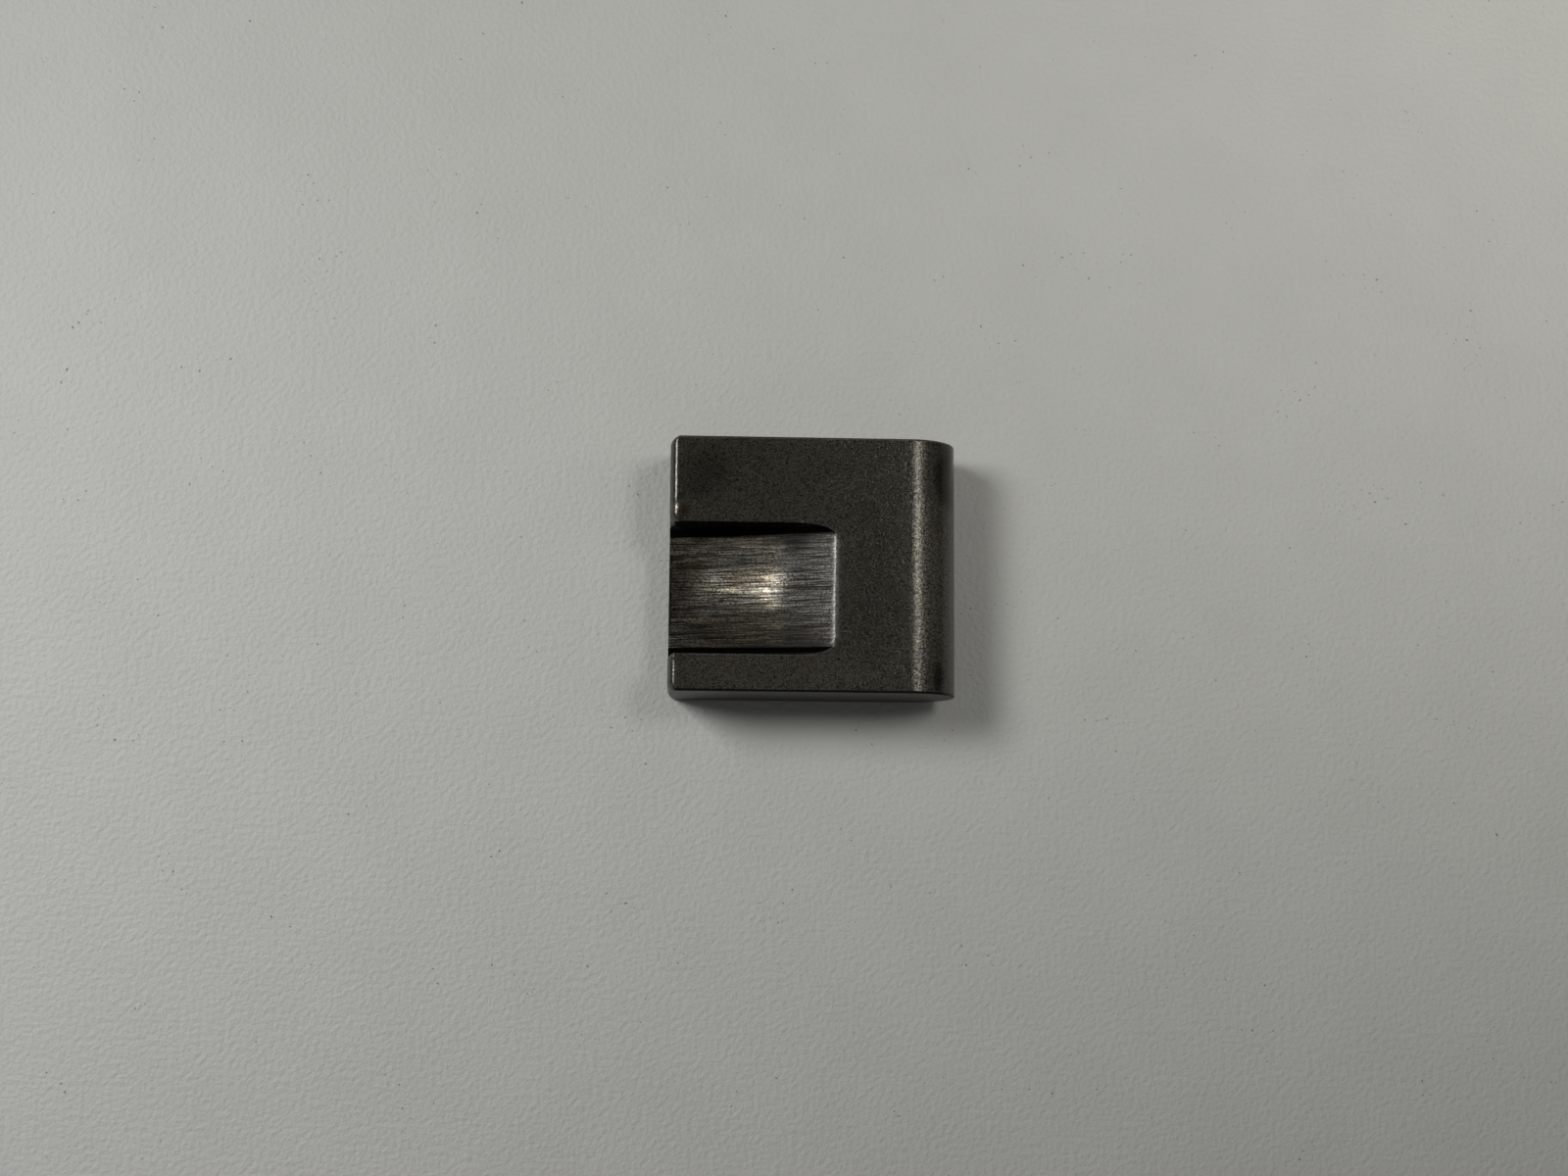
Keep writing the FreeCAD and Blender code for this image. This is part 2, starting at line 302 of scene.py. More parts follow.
def wireFaces(skin):
    # vertices and faces of the skin, both flat sides and the open end
    count, across = skin.shape[:2]
    skin = skin[:, :, :3]
    points = list(skin.reshape(-1, 3))

    def at(i, j):
        return i * across + j

    faces = [(at(i, j), at(i + 1, j), at(i + 1, j + 1), at(i, j + 1))
             for i in range(count - 1) for j in range(across - 1)]
    middle = count // 2
    share = np.linspace(0, 1, meshSteps["side"] + 1)
    share = np.concatenate([[0, 0.01], share[1:-1], [0.99, 1]])  # close rows keep the edges crisp
    columns = {}
    for j in (0, across - 1):
        for i in range(middle):
            top, bottom = skin[i, j], skin[count - 1 - i, j]
            column = [at(i, j)]
            for f in share[1:-1]:
                points.append(top + f * (bottom - top))
                column.append(len(points) - 1)
            columns[i, j] = column + [at(count - 1 - i, j)]
        columns[middle, j] = [at(middle, j)] * len(share)
        for i in range(middle):
            for a in range(len(share) - 1):
                here, beside = columns[i, j], columns[i + 1, j]
                corners = (here[a], here[a + 1], beside[a + 1], beside[a])
                faces.append(tuple(dict.fromkeys(corners)))
    front, back = columns[0, 0], columns[0, across - 1]
    loop = [at(0, j) for j in range(across)] + back[1:]
    loop += [at(count - 1, j) for j in range(across - 2, -1, -1)] + front[-2:0:-1]
    return points, faces, loop


def makeBlock():
    skin = blockSkin()
    points, faces, loop = wireFaces(skin)
    wornAndSheen, paintedShade, ground = (skin[:, :, k].ravel() for k in (3, 4, 5))
    mesh = bpy.data.meshes.new("slottedBlock")
    mesh.from_pydata([Vector(p) * mm for p in points], [], faces)
    bm = bmesh.new()
    bm.from_mesh(mesh)
    bm.verts.ensure_lookup_table()
    endFace = bm.faces.new([bm.verts[i] for i in loop])
    ring = meshSteps["endRing"] * mm
    bmesh.ops.inset_region(bm, faces=[endFace], thickness=ring, use_even_offset=False)
    bmesh.ops.recalc_face_normals(bm, faces=bm.faces[:])
    bm.verts.index_update()
    # the points carry the wear with its painted highlight, and the front edge's painted shade
    for name, amounts in (("wearAndSheen", wornAndSheen), ("dark", paintedShade)):
        layer = bm.verts.layers.float.new(name)
        for vert, amount in zip(bm.verts, amounts):
            vert[layer] = amount
    for face in bm.faces:
        # all are smooth but the end face
        face.smooth = bool(max(vert.co.x for vert in face.verts) > (openEnd + 0.001) * mm)
        corners = [vert.index for vert in face.verts]
        face.material_index = int(max(corners) < len(ground) and all(ground[i] for i in corners))
    bm.to_mesh(mesh)
    bm.free()
    piece = bpy.data.objects.new("slottedBlock", mesh)
    bpy.context.scene.collection.objects.link(piece)
    return piece


piece = makeBlock()
print("block", len(piece.data.vertices), "vertices", len(piece.data.polygons), "faces")
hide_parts(solid)
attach(piece, "root")

# finish of the block, with some painted light and shade: sizes in millimetres, places from the middle of the
# underside
finish = {
    "metal": (0.056, 0.0537, 0.0425, 1),
    "brown": (1.02, 0.98, 0.92, 1),  # tone of the warmer patches
    # bare metal of the rubbed edges, which also paints their highlights
    "wornAndSheen": (0.24, 0.235, 0.225, 1),
    "metallic": 0.45,
    "specular": 0.35,
    "roughness": 0.15,
    "roughTone": 0.2,  # how much the roughness varies
    "sideRoughness": 0.28,  # added on the sides
    "sideGrain": 0.5,  # how much of the grain's depth they keep
    "sideTone": 0.6,  # how much of the speckle they lose
    "grainSize": 0.13,
    "grainTone": 0.55,
    "grainDepth": 0.013,
    "clumpSize": 0.24,
    "clumpDepth": 1.1,  # in depths of the grain
    "pitSize": 0.2,
    "pitDepth": 0.8,
    "pitDarkness": 0.44,
    "dotSize": 0.3,
    "dotTone": 0.4,
    "glintSize": 0.26,  # on the nose's highlight band: painted glints, dark specks and light ones
    "glintTone": (0.16, 1.14),
    # painted shade: a dark reflection painted along the front edge
    "frontEdgeShade": 0.08,  # dark line along the front edge
    "mottleSize": 3.5,
    "mottle": 0.06,
    "warmthSize": 2.1,
    "markEdge": (0.7, 0.22),  # how uneven the borders of marks are: size and amount
}
# stains and marks, with painted light and shade on the nose and at the nick
blockMarksAndPaintedLight = [  # place, half size, turn in degrees, how much of the metal's tone is left, softness
    {"at": (-12.9, 5.2), "size": (1.0, 1.0), "turn": 30, "tone": (0.62, 0.5, 0.38), "soft": 0.8},
    {"at": (-13.2, 6.6), "size": (0.7, 0.5), "turn": 0, "tone": (0.66, 0.55, 0.47), "soft": 0.8},
    # painted highlight on the nick's facet
    {"at": (-13.7, 5.6), "size": (0.7, 0.8), "turn": 0, "tone": (2.3, 2.2, 2.1), "soft": 0.9},
    {"at": (-11.6, 7.2), "size": (2.0, 1.4), "turn": 20, "tone": (0.72, 0.72, 0.72), "soft": 0.9},
    {"at": (-10.6, 9.2), "size": (4.2, 3.6), "turn": 0, "tone": (0.58, 0.56, 0.54), "soft": 0.9},
    {"at": (-4.5, -10.8), "size": (14.0, 3.2), "turn": 0, "tone": (1.28, 1.28, 1.28), "soft": 0.5},
    # painted highlight: lighter beside the nose's highlight band
    {"at": (11.7, 0.5), "size": (1.1, 17.0), "turn": 0, "tone": (1.6, 1.6, 1.6), "soft": 0.9},
    # painted shade: these three darken the back of the nose, standing in for a reflected shadow
    {"at": (10.4, 9.2), "size": (1.3, 4.2), "turn": 0, "tone": (0.7, 0.7, 0.68), "soft": 0.8},
    {"at": (14.0, 9.1), "size": (2.5, 3.75), "turn": 0, "tone": (0.36, 0.35, 0.33), "soft": 0.4},
    {"at": (13.6, 7.1), "size": (1.8, 1.5), "turn": 0, "tone": (0.75, 0.73, 0.7), "soft": 0.6},
    {"at": (6.6, 0.5), "size": (4.6, 16.0), "turn": 0, "tone": (0.8, 0.8, 0.8), "soft": 1.0},
    # painted light: the nose's right part made paler, standing in for light it lacks
    {"at": (13.4, -2.5), "size": (2.6, 13.0), "turn": 0, "tone": (1.4, 1.4, 1.4), "soft": 0.8},
    {"at": (12.3, -11.0), "size": (0.75, 2.0), "turn": 0, "tone": (0.35, 0.35, 0.35), "soft": 0.7},
    {"at": (10.2, 12.2), "size": (0.9, 1.3), "turn": 0, "tone": (1.0, 0.86, 0.72), "soft": 0.8},
    {"at": (-1.26, 4.2), "size": (0.16, 0.1), "turn": 0, "tone": (3.5, 3.4, 3.2), "soft": 0.5},
    {"at": (1.75, 2.95), "size": (0.28, 0.13), "turn": -35, "tone": (3.6, 3.5, 3.4), "soft": 0.5},
    {"at": (2.05, 2.6), "size": (0.1, 0.3), "turn": 20, "tone": (3.0, 2.9, 2.8), "soft": 0.5},
    {"at": (4.8, 7.05), "size": (0.12, 0.12), "turn": 0, "tone": (2.8, 2.7, 2.5), "soft": 0.6},
    {"at": (6.95, 5.55), "size": (0.1, 0.12), "turn": 0, "tone": (2.4, 2.3, 2.1), "soft": 0.6},
    {"at": (7.77, -7.0), "size": (0.14, 0.12), "turn": 0, "tone": (0.1, 0.1, 0.1), "soft": 0.4},
    {"at": (6.37, 2.9), "size": (0.1, 0.1), "turn": 0, "tone": (0.15, 0.15, 0.15), "soft": 0.5},
    {"at": (8.47, 2.2), "size": (0.11, 0.1), "turn": 0, "tone": (0.1, 0.1, 0.1), "soft": 0.5},
    {"at": (14.2, -4.3), "size": (0.4, 0.22), "turn": -20, "tone": (0.5, 0.36, 0.16), "soft": 0.5},
    {"at": (1.6, 12.1), "size": (0.42, 0.07), "turn": -40, "tone": (2.3, 2.2, 2.1), "soft": 0.7},
]
blockScratches = [  # both ends, half width, tone left
    {"ends": ((7.1, -4.15), (7.85, -4.95)), "width": 0.06, "tone": 0.15},
    {"ends": ((8.3, 5.82), (9.45, 6.1)), "width": 0.05, "tone": 0.3},
    {"ends": ((4.7, -8.9), (5.5, -8.68)), "width": 0.05, "tone": 0.25},
    {"ends": ((2.2, -9.5), (2.65, -9.3)), "width": 0.08, "tone": 0.2},
    {"ends": ((8.2, -1.5), (9.0, -1.8)), "width": 0.07, "tone": 0.3},
    {"ends": ((5.5, -8.6), (5.62, -10.3)), "width": 0.04, "tone": 1.7},
    {"ends": ((7.7, -7.9), (8.35, -12.2)), "width": 0.05, "tone": 1.55},
    {"ends": ((8.35, -7.6), (8.75, -9.0)), "width": 0.04, "tone": 1.6},
    {"ends": ((8.0, -4.9), (7.75, -6.6)), "width": 0.04, "tone": 1.5},
    {"ends": ((3.0, -5.9), (3.3, -7.4)), "width": 0.04, "tone": 1.5},
    {"ends": ((6.9, -10.0), (6.5, -11.4)), "width": 0.05, "tone": 1.35},
    {"ends": ((5.6, -2.0), (6.6, -0.9)), "width": 0.04, "tone": 1.4},
    {"ends": ((-8.2, 6.1), (-7.1, 8.4)), "width": 0.04, "tone": 1.3},
    {"ends": ((-11.6, 4.6), (-9.0, 5.2)), "width": 0.05, "tone": 1.3},
    {"ends": ((-4.6, 5.4), (-3.9, 7.9)), "width": 0.04, "tone": 1.3},
    {"ends": ((-0.2, 9.1), (2.9, 9.9)), "width": 0.04, "tone": 0.6},
]


def newMaterial(name):
    material = bpy.data.materials.new(name)
    material.use_nodes = True
    return material, material.node_tree.links, material.node_tree.nodes["Principled BSDF"]


def addNode(material, kind, inputs, **settings):
    # a node whose inputs are numbers, colours or another node's socket
    node = material.node_tree.nodes.new("ShaderNode" + kind)
    for name, value in settings.items():
        setattr(node, name, value)
    for name, value in inputs.items():
        if isinstance(value, bpy.types.NodeSocket):
            material.node_tree.links.new(value, node.inputs[name])
        else:
            node.inputs[name].default_value = value
    return node


def maths(material, operation, *values):
    return addNode(material, "Math", dict(enumerate(values)), operation=operation).outputs[0]


def ramp(material, value, fromRange, toRange):
    # a value carried smoothly from one range to another, and held beyond its ends
    span = {"Value": value, "From Min": fromRange[0], "From Max": fromRange[1], "To Min": toRange[0],
            "To Max": toRange[1]}
    return addNode(material, "MapRange", span, interpolation_type="SMOOTHSTEP").outputs["Result"]


def inMillimetres(material):
    place = addNode(material, "TexCoord", {})
    scaled = addNode(material, "VectorMath", {0: place.outputs["Object"], "Scale": 1 / mm}, operation="SCALE")
    return scaled.outputs[0]


def noiseAt(material, place, size, detail=2.0, stretch=(1, 1, 1), turn=0.0, roughness=0.5):
    # noise whose lumps are about so many millimetres
    spot = addNode(material, "Mapping", {"Vector": place, "Scale": [k / size for k in stretch],
                                         "Rotation": (0, 0, math.radians(turn))})
    look = {"Vector": spot.outputs[0], "Scale": 1.0, "Detail": detail, "Roughness": roughness}
    return addNode(material, "TexNoise", look).outputs["Fac"]


def spotMask(material, place, at, size, turn=0.0, soft=0.5):
    # 1 in the middle of an ellipse on the top face, 0 outside it
    centred = addNode(material, "VectorMath", {0: place, 1: (at[0], at[1], thickness)}, operation="SUBTRACT")
    look = {"Vector": centred.outputs[0], "Rotation": (0, 0, math.radians(-turn)),
            "Scale": (1 / size[0], 1 / size[1], 0.1)}
    shaped = addNode(material, "Mapping", look)
    away = addNode(material, "VectorMath", {0: shaped.outputs[0]}, operation="LENGTH").outputs["Value"]
    return ramp(material, away, (1 - soft, 1.0), (1, 0))


def tinted(material, colour, mask, tone):
    # the colour multiplied by a tone where the mask is 1
    tone = (tone,) * 3 if isinstance(tone, (int, float)) else tone
    return blended(material, mask, colour, (*tone, 1), "MULTIPLY")


def blended(material, mask, a, b, way="MIX"):
    # colour a where the mask is 0, b where it is 1
    mix = material.node_tree.nodes.new("ShaderNodeMix")
    mix.data_type, mix.blend_type = "RGBA", way
    links = material.node_tree.links
    links.new(mask, mix.inputs[0])
    for socket, value in ((6, a), (7, b)):
        if isinstance(value, bpy.types.NodeSocket):
            links.new(value, mix.inputs[socket])
        else:
            mix.inputs[socket].default_value = value
    return mix.outputs[2]


def between(material, share, a, b):
    # number a where the share is 0, b where it is 1
    return addNode(material, "Mix", {0: share, 2: a, 3: b}).outputs[0]


def painted(material, name):
    # an amount that the mesh carries at its points
    return addNode(material, "Attribute", {}, attribute_name=name).outputs["Fac"]


def raised(material, shader, height, depth, strength=1.0):
    # bump of so many millimetres
    look = {"Strength": strength, "Distance": depth * mm, "Height": height}
    bump = addNode(material, "Bump", look)
    material.node_tree.links.new(bump.outputs["Normal"], shader.inputs["Normal"])


def dimmed(material, colour, amount):
    # the colour times an amount
    return addNode(material, "VectorMath", {0: colour, "Scale": amount}, operation="SCALE").outputs[0]


def plain(material, colour):
    # a fixed colour as a socket
    node = material.node_tree.nodes.new("ShaderNodeRGB")
    node.outputs[0].default_value = colour
    return node.outputs[0]


scratchSpread = 1.6  # soft borders take so many half widths


def withMarksAndPaintedLight(material, place, colour, marks, scratches, unevenness):
    # unevenness is the place moved about, for the borders of the marks
    for mark in marks:
        mask = spotMask(material, unevenness, mark["at"], mark["size"], mark["turn"], mark["soft"])
        colour = tinted(material, colour, mask, mark["tone"])
    for scratch in scratches:
        (x0, y0), (x1, y1) = scratch["ends"]
        size = (math.hypot(x1 - x0, y1 - y0) / 2, scratchSpread * scratch["width"])
        turn = math.degrees(math.atan2(y1 - y0, x1 - x0))
        mask = spotMask(material, place, ((x0 + x1) / 2, (y0 + y1) / 2), size, turn, 0.7)
        colour = tinted(material, colour, mask, scratch["tone"])
    return colour


def shaken(material, place, size, amount):
    # the place moved about a little, so that marks have uneven borders
    look = {"Vector": place, "Scale": 1 / size, "Detail": 3.0}
    push = addNode(material, "TexNoise", look).outputs["Color"]
    push = addNode(material, "VectorMath", {0: push, 1: (0.5, 0.5, 0.5)}, operation="SUBTRACT").outputs[0]
    push = dimmed(material, push, 2 * amount)
    return addNode(material, "VectorMath", {0: place, 1: push}, operation="ADD").outputs[0]


def blastedMetal():
    material, links, shader = newMaterial("blastedMetal")
    place = inMillimetres(material)
    grain = noiseAt(material, place, finish["grainSize"], 2.0)
    pits = noiseAt(material, place, finish["pitSize"], 2.0, roughness=0.6)
    mottle = noiseAt(material, place, finish["mottleSize"], 4.0)
    warmth = noiseAt(material, place, finish["warmthSize"], 3.0, stretch=(1, 1.3, 1))
    dots = noiseAt(material, place, finish["dotSize"], 1.0)
    clumps = noiseAt(material, place, finish["clumpSize"], 2.0, roughness=0.6)
    glintNoise = noiseAt(material, place, finish["glintSize"], 2.0, roughness=0.6)
    # tone: mottled, with dark pits, dots and fine speckle; these noises run from about 0.3 to 0.7
    tones = [ramp(material, pits, (0.36, 0.56), (1 - finish["pitDarkness"], 1.2)),
             ramp(material, mottle, (0.25, 0.75), (1 - finish["mottle"], 1 + finish["mottle"])),
             ramp(material, dots, (0.28, 0.37), (finish["dotTone"], 1.0)),
             ramp(material, grain, (0.32, 0.68), (1 - finish["grainTone"], 1 + finish["grainTone"]))]
    # painted glints: the tone speckled dark and light where the nose's highlight band lies, as it turns down
    split = addNode(material, "SeparateXYZ", {0: place})
    x, y, z = (split.outputs[name] for name in "XYZ")
    nose = maths(material, "MULTIPLY", ramp(material, x, (noseX - 0.2, noseX + 0.5), (0, 1)),
                 ramp(material, x, (noseX + 1.3, noseX + 2.2), (1, 0)))
    paintedGlints = ramp(material, glintNoise, (0.38, 0.56), finish["glintTone"])
    tones.append(between(material, nose, 1.0, paintedGlints))
    tone = tones[0]
    for other in tones[1:]:
        tone = maths(material, "MULTIPLY", tone, other)
    # the sides and the open end are plainer and duller than the top
    below = maths(material, "MULTIPLY", ramp(material, z, (thickness - 0.5, thickness - 0.2), (1, 0)),
                  ramp(material, x, (noseX - 0.6, noseX), (1, 0)))
    outside = ramp(material, maths(material, "ABSOLUTE", y), (width / 2 - 0.3, width / 2 - 0.05), (0, 1))
    side = maths(material, "MAXIMUM", outside, below)
    tone = between(material, maths(material, "MULTIPLY", side, finish["sideTone"]), tone, 1.0)
    warm = [a * b for a, b in zip(finish["metal"], finish["brown"])]
    base = blended(material, ramp(material, warmth, (0.5, 0.68), (0, 1)), finish["metal"], warm)
    uneven = shaken(material, place, *finish["markEdge"])
    colour = withMarksAndPaintedLight(material, place, dimmed(material, base, tone), blockMarksAndPaintedLight, blockScratches, uneven)
    # painted shade along the front edge's rounding
    colour = tinted(material, colour, painted(material, "dark"), finish["frontEdgeShade"])
    # rubbed edges lightened towards bare metal: wear and a painted highlight
    wearAndSheen = ramp(material, pits, (0.3, 0.6), (0.45, 1.0))
    wearAndSheen = maths(material, "MULTIPLY", painted(material, "wearAndSheen"), wearAndSheen)
    links.new(blended(material, wearAndSheen, colour, finish["wornAndSheen"]), shader.inputs["Base Color"])
    shader.inputs["Metallic"].default_value = finish["metallic"]
    shader.inputs["Specular IOR Level"].default_value = finish["specular"]
    clumped = ramp(material, clumps, (0.32, 0.68), (1 - finish["roughTone"], 1 + finish["roughTone"]))
    rough = maths(material, "ADD", maths(material, "MULTIPLY", clumped, finish["roughness"]),
                  maths(material, "MULTIPLY", side, finish["sideRoughness"]))
    links.new(rough, shader.inputs["Roughness"])
    height = maths(material, "ADD", grain, maths(material, "MULTIPLY", pits, finish["pitDepth"]))
    height = maths(material, "ADD", height, maths(material, "MULTIPLY", clumps, finish["clumpDepth"]))
    strength = ramp(material, side, (0, 1), (1, finish["sideGrain"]))
    raised(material, shader, height, finish["grainDepth"], strength)
    return material


# finish of the ground slot, with painted shade in its roots and a painted glare and sheen
slotFinish = {
    "metal": (0.048, 0.0445, 0.0375, 1),
    "brown": (0.042, 0.036, 0.0275, 1),
    "grey": (0.026, 0.0255, 0.0233, 1),
    # painted shade: near black for the roots, and the dim tone it fades to at the walls
    "root": (0.003, 0.0028, 0.0024, 1),
    "wall": (0.017, 0.0165, 0.014, 1),
    # bare metal of the rubbed run-out and rims, which also paints their highlights
    "wornAndSheen": (0.29, 0.285, 0.27, 1),
    "edgeTint": (0.25, 0.24, 0.22, 1),
    "metallic": 0.55,
    "roughness": 0.27,
    "rootRoughness": 0.9,
    "anisotropy": 0.8,
    "streakDepth": 0.012,
    "streakSizes": (0.09, 0.26),  # fine and broad grinding lines
    "freshSizes": (0.1, 0.4),
    "streakStretch": (0.03, 1, 0.02),
    "freshStretch": (0.035, 1, 0.02),
    "freshFrom": -3.0,  # the fresher, greyer cut near the run-out starts about here
    "freshReach": 3.2,
    "freshWander": 3.0,
    "freshTurn": 2.4,  # degrees
    "patchSize": 2.2,
    "speckSize": 0.16,
    "rootShadeShift": (0.1, 0.27),  # how far up the roots' painted shade goes, at the open end and at the run-out
    "frontShadeShift": 0.05,  # added at the front
    "markEdge": (0.8, 0.3),
}
slotMarksAndPaintedGlare = [
    # these bright patches: rubbed, brighter metal, raised into a painted glare
    {"at": (-6.6, -1.9), "size": (5.6, 3.0), "turn": 2, "tone": (2.65, 2.62, 2.6), "soft": 1.0},
    {"at": (-4.35, -1.95), "size": (2.3, 2.5), "turn": 2, "tone": (2.9, 2.92, 3.0), "soft": 1.0},
    {"at": (-4.4, -1.15), "size": (1.2, 0.5), "turn": 3, "tone": (2.2, 2.2, 2.1), "soft": 0.9},
    {"at": (-6.0, -2.3), "size": (3.7, 0.7), "turn": 3, "tone": (2.5, 2.5, 2.4), "soft": 0.9},
    {"at": (-4.5, -3.15), "size": (1.3, 0.4), "turn": 3, "tone": (2.1, 2.1, 1.95), "soft": 0.9},
    {"at": (-3.9, -3.95), "size": (1.3, 0.5), "turn": 10, "tone": (2.4, 2.4, 2.25), "soft": 0.9},
    {"at": (-10.4, -1.6), "size": (3.4, 2.9), "turn": 0, "tone": (2.2, 2.2, 2.2), "soft": 1.0},
    {"at": (-9.6, -0.7), "size": (1.9, 0.7), "turn": 0, "tone": (1.9, 1.9, 2.0), "soft": 0.9},
    {"at": (-3.3, -1.3), "size": (1.5, 2.2), "turn": 0, "tone": (1.8, 1.8, 1.8), "soft": 1.0},
    {"at": (-9.4, -1.3), "size": (1.1, 0.16), "turn": 0, "tone": (1.9, 2.0, 1.7), "soft": 0.9},
    {"at": (-9.2, -2.3), "size": (2.6, 0.5), "turn": 0, "tone": (2.3, 2.3, 2.0), "soft": 0.9},
    {"at": (-1.75, 2.3), "size": (1.7, 0.85), "turn": -8, "tone": (0.3, 0.3, 0.32), "soft": 0.6},
    {"at": (-6.5, -7.2), "size": (9.0, 3.4), "turn": 0, "tone": (0.42, 0.4, 0.36), "soft": 0.5},
    {"at": (-4.5, -8.5), "size": (9.5, 1.15), "turn": 0, "tone": (0.2, 0.16, 0.13), "soft": 0.5},
    {"at": (-7.0, 3.1), "size": (9.0, 1.6), "turn": 0, "tone": (0.62, 0.58, 0.53), "soft": 0.9},
    {"at": (-2.3, 3.2), "size": (4.4, 1.9), "turn": 0, "tone": (0.2, 0.2, 0.2), "soft": 0.8},
    {"at": (0.0, -7.7), "size": (3.4, 1.3), "turn": 0, "tone": (0.5, 0.5, 0.5), "soft": 0.8},
    {"at": (-13.0, -2.0), "size": (2.4, 6.5), "turn": 0, "tone": (0.62, 0.58, 0.54), "soft": 0.9},
    {"at": (-0.5, -6.6), "size": (3.4, 1.6), "turn": 3, "tone": (0.6, 0.55, 0.5), "soft": 0.8},
    {"at": (-14.3, -2.4), "size": (0.3, 9.0), "turn": 0, "tone": (0.06, 0.06, 0.06), "soft": 0.5},
]
slotScratches = [
    {"ends": ((-12.5, -1.62), (-2.0, -1.5)), "width": 0.07, "tone": 0.16},
    {"ends": ((-3.0, -1.62), (1.7, -1.3)), "width": 0.09, "tone": 0.25},
    {"ends": ((-7.6, -2.95), (1.7, -2.62)), "width": 0.08, "tone": 0.2},
    {"ends": ((-8.4, -3.9), (1.5, -3.6)), "width": 0.06, "tone": 0.35},
    {"ends": ((-12.9, 0.1), (-7.0, 0.15)), "width": 0.06, "tone": 0.4},
    {"ends": ((-13.9, 1.35), (-9.2, 1.4)), "width": 0.06, "tone": 0.4},
    {"ends": ((-11.2, -1.25), (-6.4, -1.3)), "width": 0.05, "tone": 0.45},
    {"ends": ((-2.6, 0.1), (1.7, 0.4)), "width": 0.07, "tone": 0.4},
    {"ends": ((-2.7, -0.75), (1.7, -0.45)), "width": 0.1, "tone": 0.4},
    {"ends": ((-7.1, -2.62), (-6.8, -2.6)), "width": 0.14, "tone": 0.3},
]


